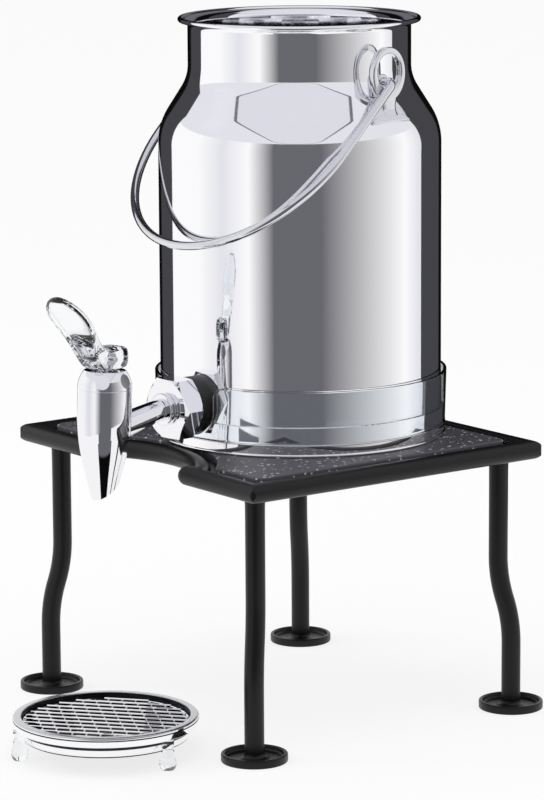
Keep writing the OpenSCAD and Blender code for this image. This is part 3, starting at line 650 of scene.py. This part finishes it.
class MILK_OT_ears(bpy.types.Operator):
    """Forms the shield plates and the eyes that hold the bail"""
    bl_idname = "milk.ears"
    bl_label = "Ears"

    def execute(self, context):
        half, foot_z, blunt = 16, 201.0, 1.5
        edge = rounded([(-half, foot_z)] + arc(0, foot_z, half, 176, 4, 28) + [(half, foot_z)],
                       [blunt] + [0] * 29 + [blunt], 4, True)
        heart = Vector((0, 207.5))
        rings = []
        for share, off in ((1, -0.1), (1, 1.2), (0.985, 1.7), (0.955, 1.96), (0.91, 2.02), (0.75, 2.05), (0.5, 2.05),
                           (0.25, 2.05), (0.02, 2.05)):
            rings.append([on_cone(*(heart + (p - heart) * share), off) for p in edge])
        plate = loft(rings)
        corner = rounded([(-1, -1), (1, -1), (1, 1), (-1, 1)], 0.55, 5, True)
        # The eye is an oval ring: half widths, middle heights and half heights of its hole and its outline.
        eye_x, eye_half = 79, 2.5
        hole_w, hole_z, hole_h = 9.5, 232.25, 10.75
        wide_w, wide_z, wide_h = 13.5, 230.25, 16.75
        rings = []
        for a in turns(72):
            inner = Vector((hole_w * math.sin(a), hole_z + hole_h * math.cos(a)))
            outer = Vector((wide_w * math.sin(a), wide_z + wide_h * math.cos(a)))
            mid, way = (inner + outer) / 2, (outer - inner) / 2
            rings.append([(eye_x + c.y * eye_half, mid.x + way.x * c.x, mid.y + way.y * c.x) for c in corner])
        eye = loft(rings, closed=True)
        rings = []
        for z, w, x0, x1 in ((219, 8.2, 76.9, 81.1), (216, 7.0, 76.7, 81.3), (213.5, 6.0, 76.5, 81.5),
                             (211, 5.6, 76.5, 81.6), (208, 5.6, 76.6, 82.4), (205.5, 5.9, 77.0, 83.8)):
            rings.append([((x0 + x1) / 2 + c.y * (x1 - x0) / 2, c.x * w, z) for c in corner])
        tongue = loft(rings)
        for side, turn in (("right", 0), ("left", math.pi)):
            place = CAN @ Matrix.Rotation(turn, 4, "Z")
            build(f"ear_plate_{side}_shield", plate, place, "can", "wire", [f"ear_plate_{side}"])
            build(f"ear_eye_{side}_ring", joined(eye, tongue), place, "can", "wire", [f"ear_eye_{side}"], 40)
        return {"FINISHED"}


class MILK_OT_bail(bpy.types.Operator):
    """Bends the wire bail with its end heads"""
    bl_idname = "milk.bail"
    bl_label = "Bail"

    def execute(self, context):
        r, half, leg, bend = looks("can").wire / (2 * MM), 85.0, 56.0, 5
        inner, head_x, head_r, head_t, blunt = 75.2, 73.7, 4.2, 2, 0.8
        pivot_z, lean = 226, -46
        end = rounded([(inner, 0, 0), (half, 0, 0), (half, 0, -leg)], bend, 10)
        bow = [Vector((half * math.cos(a), 0, -leg - half * math.sin(a))) for a in
               (math.pi * k / 72 for k in range(1, 72))]
        line = end + bow + [Vector((-p.x, p.y, p.z)) for p in reversed(end)]
        knob = lathe(rounded([(0, 0), (head_r, 0), (head_r, head_t), (0, head_t)], [0, blunt, blunt, 0], 4, True), 40)
        ends = [moved(knob, Matrix.Translation((s * head_x, 0, 0)) @ Matrix.Rotation(s * math.pi / 2, 4, "Y"))
                for s in (1, -1)]
        place = CAN @ Matrix.Translation((0, 0, pivot_z)) @ Matrix.Rotation(math.radians(lean), 4, "X")
        build("bail_wire", joined(tube(line, r, 24), *ends), place, "bail", "wire", ["bail"])
        return {"FINISHED"}


# Tap

def along_tap(distance):
    """Place on the tap's thread axis, +Z away from the can."""
    return CAN @ Matrix.Translation((0, -distance, TAP_AXIS_Z)) @ Matrix.Rotation(math.pi / 2, 4, "X")


class MILK_OT_mounting(bpy.types.Operator):
    """Makes the gasket, nut, ring and shank that hold the tap"""
    bl_idname = "milk.mounting"
    bl_label = "Tap mounting"

    def execute(self, context):
        # Rows: radius, and distance from the can's axis, or None where the gasket hugs the can's wall.
        lift, ring_at = 0.03, 111
        rings = []
        for r, d in ((0.05, None), (6, None), (12, None), (16, None), (17.4, None), (17.5, 90), (17.5, 96.2),
                     (17.3, 96.7), (16.8, 97.0), (7.2, 97.0), (0.05, 97.0)):
            ring = []
            for a in turns(96):
                x = r * math.cos(a)
                ring.append((x, r * math.sin(a), (math.sqrt(CAN_R ** 2 - x * x) + lift if d is None else d) - CAN_R))
            rings.append(ring)
        build("tap_gasket_rubber", loft(rings), along_tap(CAN_R), "can", "rubber", ["tap_gasket"])
        band = rounded([(6.9, 0), (10, 0), (10, 4), (6.9, 4)], [0, 1.2, 1.2, 0], 6, True)
        build("shank_ring_band", lathe(band, 96), along_tap(ring_at), "can", "plate", ["shank_ring"])
        dress("plate", "hex_nut", "tap_shank", "lock_nut")
        dress("rubber", "inner_washer")
        return {"FINISHED"}


class MILK_OT_tap(bpy.types.Operator):
    """Turns the tap body with its cut spout, and finishes bonnet, stem and seat"""
    bl_idname = "milk.tap"
    bl_label = "Tap"

    def execute(self, context):
        r, straight, curve, bow, spout = looks("tap").body / MM, 16.0, 31.0, 120.0, 21.0
        end = r - bow + math.sqrt(bow ** 2 - curve ** 2)
        fall = curve / math.sqrt(bow ** 2 - curve ** 2)
        tip, depth = end - spout * fall, straight + curve + spout
        turn = math.degrees(math.asin(curve / bow))
        bore, chamber, chamber_z, edge = 5, 10, -33, 0.5
        outline = [(chamber, 0)] + arc(r - edge, -edge, edge, 90, 0, 4) + [(r, -5), (r, -10)]
        outline += arc(r - bow, -straight, bow, 0, -turn, 28)
        outline += [(tip, -depth), (bore, -depth), (bore, chamber_z), (chamber, chamber_z)]
        mesh = mesh_of("tap_body_casting", lathe(outline, 144), TAP)
        work = bmesh.new()
        work.from_mesh(mesh)
        lean = math.radians(38)
        spot = (TAP @ Vector((0, -tip, -depth))) * MM
        facing = (TAP.to_3x3() @ Vector((0, -math.sin(lean), math.cos(lean)))).normalized()
        cut = bmesh.ops.bisect_plane(work, geom=work.verts[:] + work.edges[:] + work.faces[:], dist=1e-7,
                                     plane_co=spot, plane_no=facing, clear_inner=True)
        rim = [e for e in cut["geom_cut"] if isinstance(e, bmesh.types.BMEdge)]
        bmesh.ops.bridge_loops(work, edges=rim)
        bmesh.ops.recalc_face_normals(work, faces=work.faces)
        work.to_mesh(mesh)
        work.free()
        show("tap_body_casting", mesh, "can", "plate", ["tap_body"], 35)
        dress("plate", "bonnet", "valve_stem")
        dress("silicone", "seat_cup")
        return {"FINISHED"}


class MILK_OT_lever(bpy.types.Operator):
    """Moulds the clear lever with its dished paddle and pin"""
    bl_idname = "milk.lever"
    bl_label = "Lever"

    def execute(self, context):
        wide, dish = looks("tap").paddle / MM, looks("tap").dish / MM
        slope, bend, back, hub, blade = math.radians(47), 7.0, -15, 20.5, 53.0
        pin_z, turn = 18, math.radians(12)
        # Spine: straight hub, bend, straight blade; t runs from the hub's rear end.
        spine = [(back + hub * i / 16, 0.0, 0.0) for i in range(17)]
        spine += [(back + hub + bend * math.sin(a), bend - bend * math.cos(a), a)
                  for a in (slope * i / 12 for i in range(1, 13))]
        fx, fz, _ = spine[-1]
        # The steps along the blade close up at its round end.
        steps = [blade * k / 70 for k in range(1, 62)]
        steps += [blade * (61 / 70 + 9 / 70 * math.sin(math.pi / 2 * k / 12)) for k in range(1, 13)]
        spine += [(fx + s * math.cos(slope), fz + s * math.sin(slope), slope) for s in steps]
        lengths = [0.0]
        for a, b in zip(spine, spine[1:]):
            lengths.append(lengths[-1] + math.hypot(b[0] - a[0], b[1] - a[1]))
        # Rows: t, half width, lower thickness, upper thickness, squareness.
        rows = [(0, 4.5, 3.2, 3.6, 3), (0.7, 6.2, 4.6, 5.2, 3.4), (1.8, 7.4, 5.6, 6.2, 4), (4, 8.2, 6.2, 6.8, 5),
                (8, 8.5, 6.5, 7.0, 5), (20.5, 8.5, 6.5, 6.8, 5), (24, 8.6, 6.5, 6.0, 5), (28, 8.8, 6.3, 5.2, 5),
                (34, 9.4, 5.8, 4.4, 4.5), (40, 10.8, 4.4, 3.2, 4), (46, wide - 2.1, 2.9, 2.4, 3.6),
                (54, wide - 0.3, 2.5, 2.4, 3.4), (60, wide, 2.5, 2.4, 3.4), (64, wide - 0.2, 2.5, 2.4, 3.4),
                (68, wide - 1.4, 2.5, 2.4, 3.4), (72, wide - 3.4, 2.4, 2.3, 3.2), (75, wide - 5.8, 2.3, 2.2, 3),
                (77.2, wide - 8.4, 2.1, 2.0, 2.8), (78.6, wide - 11.4, 1.7, 1.6, 2.5), (79.2, 0.6, 0.8, 0.8, 2)]
        rings = []
        for (f, h, a), t in zip(spine, lengths):
            w, low, up, square = table(t, rows)
            ring = []
            for b in turns(72):
                c, s = math.cos(b), math.sin(b)
                x = w * math.copysign(abs(c) ** (2 / square), c)
                n = (up if s > 0 else low) * math.copysign(abs(s) ** (2 / square), s)
                if s < 0:
                    inside = smooth_step((w - 1.6 - abs(x)) / 1.3) * smooth_step((t - 42 + 0.035 * x * x) / 2.2)
                    n += dish * inside * smooth_step((77.5 - t) / 2.0)
                ring.append((x, -(f - n * math.sin(a)), h + n * math.cos(a)))
            rings.append(ring)
        place = TAP @ Matrix.Rotation(turn, 4, "Z") @ Matrix.Translation((0, 0, pin_z))
        mesh = mesh_of("tap_lever_moulding", loft(rings), place)
        # The slot takes the stem: round above, open below and wider towards the front.
        r, half, deep, front = 4.4, 2.8, -9, 9.7
        slot = [(-r, 0)] + [(-r * math.cos(a), r * math.sin(a)) for a in (math.pi * k / 24 for k in range(1, 24))]
        slot += [(r, 0), (front, deep), (-r, deep)]
        cutter = mesh_of("slot", loft([[(x, -f, h) for f, h in slot] for x in (-half, half)]), place)
        show("tap_lever_moulding", cut_away(mesh, cutter), "lever", "clear", ["tap_lever"], 40)
        dress("plate", "lever_pin")
        return {"FINISHED"}


# Drip tray

def outward(face):
    """How far a face of the tray looks away from the tray's axis."""
    return face.normal.xy.dot((face.center / MM - TRAY.translation).xy.normalized())


class MILK_OT_bowl(bpy.types.Operator):
    """Spins the drip bowl and its satin rim"""
    bl_idname = "milk.bowl"
    bl_label = "Drip bowl and rim"

    def execute(self, context):
        r, polished_z, groove_low, groove_high = looks("tray").radius / MM, 15.6, 22.1, 22.9
        bowl = rounded([(0, 10.5), (48.4, 10.5), (50, 10.5), (50.75, 13), (51.53, polished_z), (52.1, 17.5),
                        (52.4, 18.5), (52.4, 23.3), (51.2, 23.3), (51.2, 19.0), (49.2, 19.0), (49.2, 18.0),
                        (49.0, 15), (48.8, 11.7), (46.5, 11.7), (0, 11.7)],
                       [0, 0, 1.5, 0, 0, 0, 0, 0, 0, 0, 0.4, 0, 0, 1.5, 0, 0], 6, True)
        sheet = build("drip_bowl_sheet", lathe(bowl, 160), TRAY, "drip_tray", "steel", ["drip_bowl"]).data
        # The bowl is polished on its wall only: its inside is dark sheet, and its under side and the groove under the
        # rim are painted shade in that dark sheet.
        sheet.materials.append(material(*FINISHES["dark_and_painted_shade"][:2]))
        for face in sheet.polygons:
            dark_and_painted_shade = outward(face) < 0.01 or abs(face.normal.z) > 0.35 or face.center.z > polished_z * MM
            face.material_index = int(dark_and_painted_shade)
        rim = rounded([(r - 5, 23.3), (r - 1.2, 23.3), (r - 1.2, 18.5), (r, 18.5), (r, 19.4), (r, 21.5),
                       (r, groove_low), (r - 0.4, 22.2), (r - 0.4, 22.8), (r, groove_high), (r, 24.5),
                       (r - 2.2, 24.5), (r - 4.2, 24.5), (r - 5, 24.5)],
                      [0, 0.8, 0.4, 0.4, 0, 0, 0, 0, 0, 0, 1.3, 0, 0, 0.5], 6, True)
        band = build("drip_rim_band", lathe(rim, 192), TRAY, "drip_tray", "satin", ["drip_rim"]).data
        # The lip is satin, the band below it is polished, and the groove between them and the under side are painted
        # shade in dark sheet.
        for finish in ("steel", "dark_and_painted_shade"):
            band.materials.append(material(*FINISHES[finish][:2]))
        for face in band.polygons:
            groove = groove_low * MM < face.center.z < groove_high * MM
            face.material_index = 2 if groove else 0 if face.normal.z > 0.3 else 1 if outward(face) > 0.3 else 2
        return {"FINISHED"}


class MILK_OT_grid(bpy.types.Operator):
    """Lays the two sets of the grid's wires in their ring"""
    bl_idname = "milk.grid"
    bl_label = "Drip grid"

    def execute(self, context):
        r, ring_z, wire, pitch = 50.8, 20.2, looks("tray").wire / MM, looks("tray").pitch / MM
        count = int(r / pitch)
        ring = [((r - wire / 2) * math.cos(a), (r - wire / 2) * math.sin(a), ring_z) for a in turns(160)]
        shapes = [tube(ring, wire / 2, 10, True)]
        # The upper and the lower set of wires: direction and height.
        for turn, z in ((40, 20.75), (-26.5, 19.65)):
            a = math.radians(turn)
            for i in range(-count, count + 1):
                reach = math.sqrt((r - wire / 2) ** 2 - (i * pitch) ** 2)
                ends = [Vector((s * reach * math.cos(a) - i * pitch * math.sin(a),
                                s * reach * math.sin(a) + i * pitch * math.cos(a), z)) for s in (-1, 1)]
                shapes.append(tube(ends, wire / 2, 10))
        build("drip_grid_wires", joined(*shapes), TRAY, "drip_grid", "plate", ["drip_grid"])
        return {"FINISHED"}


class MILK_OT_drops(bpy.types.Operator):
    """Moulds the tray's three clear drop feet"""
    bl_idname = "milk.drops"
    bl_label = "Tray feet"

    def execute(self, context):
        outline = rounded([(0, 0), (3.9, 0), (5.2, 3.2), (4.7, 8), (3.4, 13), (4.0, 18.4), (0, 18.4)],
                          [0, 1.6, 3, 6, 6, 0.5, 0], 7, True)
        shape, circle = lathe(outline, 48), 53.4
        for name, turn in (("front", -111), ("right", 9), ("rear", 129)):
            a = math.radians(turn)
            place = TRAY @ Matrix.Translation((circle * math.cos(a), circle * math.sin(a), 0))
            build(f"drip_foot_{name}_drop", shape, place, "drip_tray", "clear", [f"drip_foot_{name}"])
        return {"FINISHED"}


# Stage

def studio_white(tree):
    # Matt floor paint; seen straight on or in metal and glass it also glows a little, so it stays pale.
    share = add(tree, "ShaderNodeMath", {"operation": "MULTIPLY", 1: 0.8}, {0: background_ray(tree)})
    matt = add(tree, "ShaderNodeBsdfDiffuse", {"Color": rgba(linear("#f2f2f2"))})
    glow = add(tree, "ShaderNodeEmission", {"Color": rgba(looks("stage").floor), "Strength": 1.0})
    return add(tree, "ShaderNodeMixShader", {}, {0: share.outputs[0], 1: matt.outputs[0], 2: glow.outputs[0]})


def studio_card(tree):
    # Paper whose tone is kept in its points; clear acrylic looks straight through it at the background.
    tone = add(tree, "ShaderNodeAttribute", {"attribute_name": "tone"})
    path = add(tree, "ShaderNodeLightPath")
    direct = add(tree, "ShaderNodeMath", {"operation": "LESS_THAN", 1: 0.5}, {0: path.outputs["Glossy Depth"]})
    through = add(tree, "ShaderNodeMath", {"operation": "MULTIPLY"},
                  {0: direct.outputs[0], 1: path.outputs["Is Transmission Ray"]})
    paper = add(tree, "ShaderNodeEmission", {"Strength": 1.0}, {"Color": tone.outputs["Color"]})
    nothing = add(tree, "ShaderNodeBsdfTransparent")
    return add(tree, "ShaderNodeMixShader", {},
               {0: through.outputs[0], 1: paper.outputs[0], 2: nothing.outputs[0]})


# Papers round the can, by angle to the right of the camera: white sides with a grey gap in front, dark flags behind.
SIDES = ((-180, "white"), (-86, "white"), (-62, "pale"), (-40, "white"), (-20, "grey"), (16, "grey"), (90, "white"),
         (108, "pale"), (120, "white"), (180, "white"))
UPPER = ((-180, "pale"), (180, "pale"))
FLAG_RIGHT = ((94, "dark"), (128, "dark"), (132, "black"), (158, "black"), (168, "grey"), (180, "grey"))
FLAG_LEFT = ((180, "grey"), (192, "grey"), (202, "black"), (228, "black"), (232, "dark"), (256, "dark"))


# The photograph's camera: azimuth from -Y towards +X, distance and height in millimetres, angles in degrees.
VIEW = {"azimuth": 52.8722, "distance": 2446.03, "height": 648.85, "pitch": 10.6266, "yaw": 0.4256, "roll": -0.3235,
        "focal": 3942.21, "aim_x": -1.7, "aim_y": 68.055}


def camera_place():
    """World matrix of the camera."""
    a, p = math.radians(VIEW["azimuth"]), math.radians(VIEW["pitch"])
    spot = Vector((VIEW["aim_x"] + math.sin(a) * VIEW["distance"], VIEW["aim_y"] - math.cos(a) * VIEW["distance"],
                   VIEW["height"])) * MM
    b, roll = a + math.radians(VIEW["yaw"]), math.radians(VIEW["roll"])
    ahead = Vector((-math.sin(b) * math.cos(p), math.cos(b) * math.cos(p), -math.sin(p)))
    right = Vector((math.cos(b), math.sin(b), 0))
    up = right.cross(ahead)
    right, up = right * math.cos(roll) + up * math.sin(roll), up * math.cos(roll) - right * math.sin(roll)
    turn = Matrix((right, up, -ahead)).transposed()
    return Matrix.Translation(spot) @ turn.to_4x4()


def from_heart(forward, right, height):
    """A point of the stage: distances from the can's axis towards the camera and to its right, and its height."""
    a, heart = math.radians(VIEW["azimuth"]), middle("can_bottom") * MM
    return (heart.x + forward * math.sin(a) + right * math.cos(a),
            heart.y - forward * math.cos(a) + right * math.sin(a), height)


def card(name, points, faces, tones):
    """A studio paper that only reflections see, with a tone at each point."""
    mesh = bpy.data.meshes.new(name)
    mesh.from_pydata(points, [], faces)
    shades = mesh.color_attributes.new("tone", "FLOAT_COLOR", "POINT").data
    shades.foreach_set("color", [value for tone in tones for value in rgba(tone)])
    mesh.materials.append(material("studio_card_paper", studio_card))
    made = bpy.data.objects.new(name, mesh)
    bpy.context.scene.collection.objects.link(made)
    made.visible_camera = made.visible_diffuse = made.visible_shadow = False


def shade(tone):
    return Vector(getattr(looks("stage"), tone))


def curved_card(name, stops, radius, low, high):
    """A paper bent round the can, its tone running from stop to stop."""
    steps = []
    for (a, one), (b, two) in zip(stops, stops[1:]):
        count = math.ceil((b - a) / 6)
        steps += [(a + (b - a) * i / count, shade(one).lerp(shade(two), i / count)) for i in range(count)]
    steps.append((stops[-1][0], shade(stops[-1][1])))
    points = [from_heart(radius * math.cos(math.radians(a)), radius * math.sin(math.radians(a)), z)
              for a, _ in steps for z in (low, high)]
    faces = [(2 * i, 2 * i + 2, 2 * i + 3, 2 * i + 1) for i in range(len(steps) - 1)]
    card(name, points, faces, [tone for _, tone in steps for _ in (low, high)])


def panel(height, left, right, near, far, edge, bend):
    """The overhead soft panel: a rounded sheet in a thin frame."""
    points, tones = [], []
    for grow, tone in ((0, "panel"), (0, "frame"), (edge, "frame")):
        line = rounded([(near - grow, -left - grow), (far + grow, -left - grow), (far + grow, right + grow),
                        (near - grow, right + grow)], bend + grow, 10, True)
        points += [from_heart(p.x, p.y, height) for p in line]
        tones += [shade(tone)] * len(line)
    n = len(points) // 3
    faces = [tuple(range(n))] + [(n + k, n + (k + 1) % n, 2 * n + (k + 1) % n, 2 * n + k) for k in range(n)]
    card("soft_panel", points, faces, tones)


def soft_box(name, spot, aim, width, height, power):
    """A large soft lamp."""
    lamp = bpy.data.lights.new(name, "AREA")
    lamp.shape, lamp.size, lamp.size_y, lamp.energy = "RECTANGLE", width, height, power
    made = bpy.data.objects.new(name, lamp)
    made.location = spot
    made.rotation_euler = (Vector(aim) - Vector(spot)).to_track_quat("-Z", "Y").to_euler()
    bpy.context.scene.collection.objects.link(made)


def photo_camera(scene):
    """The camera at the photograph's angle; its focal length is written in pixels of an image 800 high."""
    film, image = 36.0, 800
    lens = bpy.data.cameras.new("photo_camera")
    lens.sensor_fit, lens.sensor_height = "VERTICAL", film
    lens.lens = VIEW["focal"] * film / image
    lens.clip_end = 50
    eye = bpy.data.objects.new("photo_camera", lens)
    eye.matrix_world = camera_place()
    scene.collection.objects.link(eye)
    scene.camera = eye


def pale_floor(scene):
    """A large plain floor, which keeps the dispenser's shadow."""
    half = 8
    mesh = bpy.data.meshes.new("floor")
    mesh.from_pydata([(-half, -half, 0), (half, -half, 0), (half, half, 0), (-half, half, 0)], [], [(0, 1, 2, 3)])
    mesh.materials.append(material("studio_floor_matt", studio_white))
    floor = bpy.data.objects.new("floor", mesh)
    scene.collection.objects.link(floor)


def white_world(scene):
    """Even white light all round, a little weaker on matt surfaces than it looks."""
    world = bpy.data.worlds.new("studio")
    world.use_nodes = True
    tree = world.node_tree
    tree.nodes.clear()
    level = add(tree, "ShaderNodeMapRange", {"To Min": 0.85, "To Max": 1.0}, {"Value": background_ray(tree)})
    sky = add(tree, "ShaderNodeBackground", {"Color": (1, 1, 1, 1)}, {"Strength": level.outputs[0]})
    add(tree, "ShaderNodeOutputWorld", links={"Surface": sky.outputs[0]})
    scene.world = world


def flat_papers():
    """Two flat papers that the tap mirrors: one close in front of it, and one on the floor."""
    # The first is black below and grey above.
    ahead, left, right = 0.167, -0.143, -0.08
    rows = ((0.06, "black"), (0.15, "black"), (0.155, "grey"), (0.168, "grey"))
    card("tap_card", [from_heart(ahead, side, z) for z, _ in rows for side in (left, right)],
         [(0, 1, 3, 2), (2, 3, 5, 4), (4, 5, 7, 6)], [shade(tone) for _, tone in rows for _ in (left, right)])
    # The runner on the floor is wider away from the can.
    corners = ((0.4, -0.236), (0.4, 0.065), (0.79, 0.31), (0.79, -0.39))
    card("floor_runner", [from_heart(forward, side, 0.003) for forward, side in corners], [(0, 1, 2, 3)],
         [shade("grey") for _ in corners])


class MILK_OT_stage(bpy.types.Operator):
    """Sets the floor, the light and the camera"""
    bl_idname = "milk.stage"
    bl_label = "Stage"

    def execute(self, context):
        context.scene.view_settings.view_transform = "Standard"
        photo_camera(context.scene)
        pale_floor(context.scene)
        white_world(context.scene)
        curved_card("side_papers", SIDES, radius=0.8, low=0.0, high=0.6)
        curved_card("upper_papers", UPPER, radius=0.8, low=0.6, high=2.0)
        curved_card("dark_flag_right", FLAG_RIGHT, radius=0.2, low=0.1, high=0.75)
        curved_card("dark_flag_left", FLAG_LEFT, radius=0.2, low=0.17, high=0.75)
        panel(height=0.6, left=0.236, right=0.189, near=-0.1, far=0.78, edge=0.012, bend=0.2)
        flat_papers()
        soft_box("soft_box_left", (-1.6, -2.2, 2.2), aim=(0, 0, 0.2), width=1.0, height=1.0, power=20)
        soft_box("soft_box_top", (0.6, -0.4, 2.8), aim=(0, 0, 0.2), width=1.4, height=1.4, power=14)
        return {"FINISHED"}


class MILK_PT_panel(bpy.types.Panel):
    """Lists the pieces, their sizes and colours"""
    bl_idname = "MILK_PT_panel"
    bl_label = "Milk dispenser"
    bl_space_type = "VIEW_3D"
    bl_region_type = "UI"
    bl_category = "Milk dispenser"

    def draw(self, context):
        for name, group in GROUPS.items():
            box = self.layout.box()
            box.label(text=name.capitalize())
            for field in group.__annotations__:
                box.prop(looks(name), field)
        for step in STEPS:
            self.layout.operator(step.bl_idname)


GROUPS = {"stand": StandLooks, "can": CanLooks, "tap": TapLooks, "tray": TrayLooks, "stage": StageLooks}
STEPS = (MILK_OT_stage, MILK_OT_bars, MILK_OT_mat, MILK_OT_legs, MILK_OT_cups, MILK_OT_base, MILK_OT_collar,
         MILK_OT_can, MILK_OT_ears, MILK_OT_bail, MILK_OT_mounting, MILK_OT_tap, MILK_OT_lever, MILK_OT_bowl,
         MILK_OT_grid, MILK_OT_drops)


def register():
    for group in GROUPS.values():
        bpy.utils.register_class(group)
    for step in STEPS:
        bpy.utils.register_class(step)
    bpy.utils.register_class(MILK_PT_panel)
    for name, group in GROUPS.items():
        setattr(bpy.types.Scene, "milk_" + name, PointerProperty(type=group))


def unregister():
    for name in GROUPS:
        delattr(bpy.types.Scene, "milk_" + name)
    bpy.utils.unregister_class(MILK_PT_panel)
    for each in reversed((*GROUPS.values(), *STEPS)):
        bpy.utils.unregister_class(each)


def main():
    register()
    for step in STEPS:
        group, name = step.bl_idname.split(".")
        getattr(getattr(bpy.ops, group), name)()


if __name__ == "__main__":
    main()
